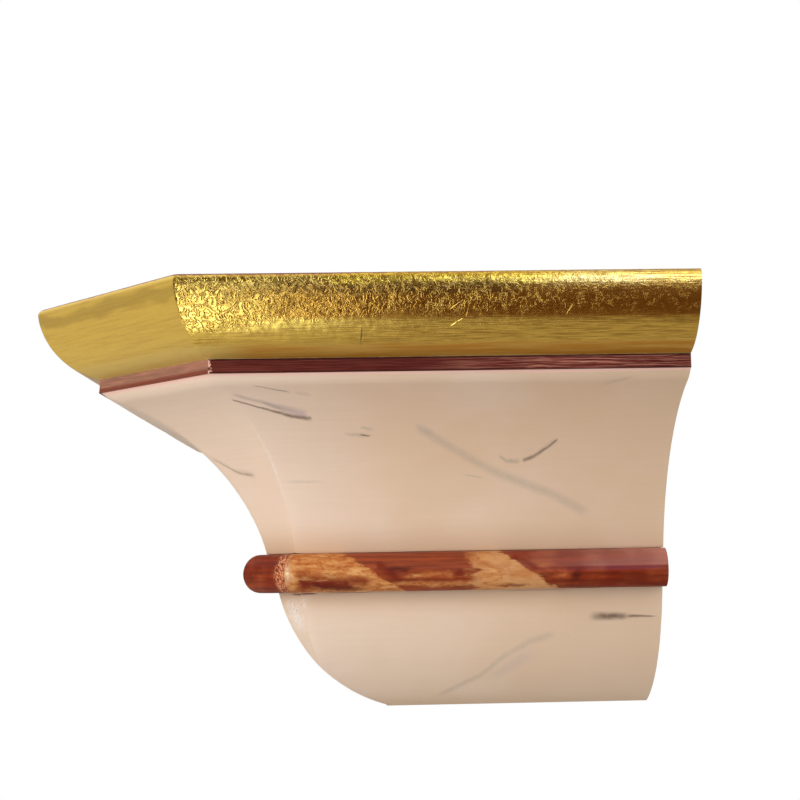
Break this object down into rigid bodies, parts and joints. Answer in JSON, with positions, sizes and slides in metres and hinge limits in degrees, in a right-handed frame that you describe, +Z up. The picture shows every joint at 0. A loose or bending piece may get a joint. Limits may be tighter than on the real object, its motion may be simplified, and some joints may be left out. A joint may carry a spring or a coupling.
{
  "type": "wall bracket",
  "caption": "Small wall bracket: gilded shelf board with cut front corners on a cream marbled block with a cove, a half-round mahogany bead and a rounded foot.",
  "frame": {"origin": "on the flat back of the body block, at mid-width and 60 mm under the shelf's top, where the wall carries the bracket", "axes": "+Y into the wall, +X to the right as seen from the room, +Z up; the bracket stands out towards -Y"},
  "size_m": [0.33, 0.215, 0.1408],
  "materials": {
    "gold_leaf": "wood gilded with crinkled gold leaf, red-brown painted top",
    "mahogany_fillet": "dark mahogany red, streaky, satin",
    "cream_marbling": "cream paint with grey-brown marble veins, semi-gloss",
    "mahogany_bead": "polished mahogany with golden-tan figured patches, gloss"
  },
  "bodies": {
    "root": {"gilded_shelf_board": "gold_leaf", "mahogany_fillet": "mahogany_fillet", "cream_body": "cream_marbling", "bead_right_side": "mahogany_bead", "bead_right_corner": "mahogany_bead", "bead_front": "mahogany_bead", "bead_left_corner": "mahogany_bead", "bead_left_side": "mahogany_bead"}
  },
  "joints": []
}
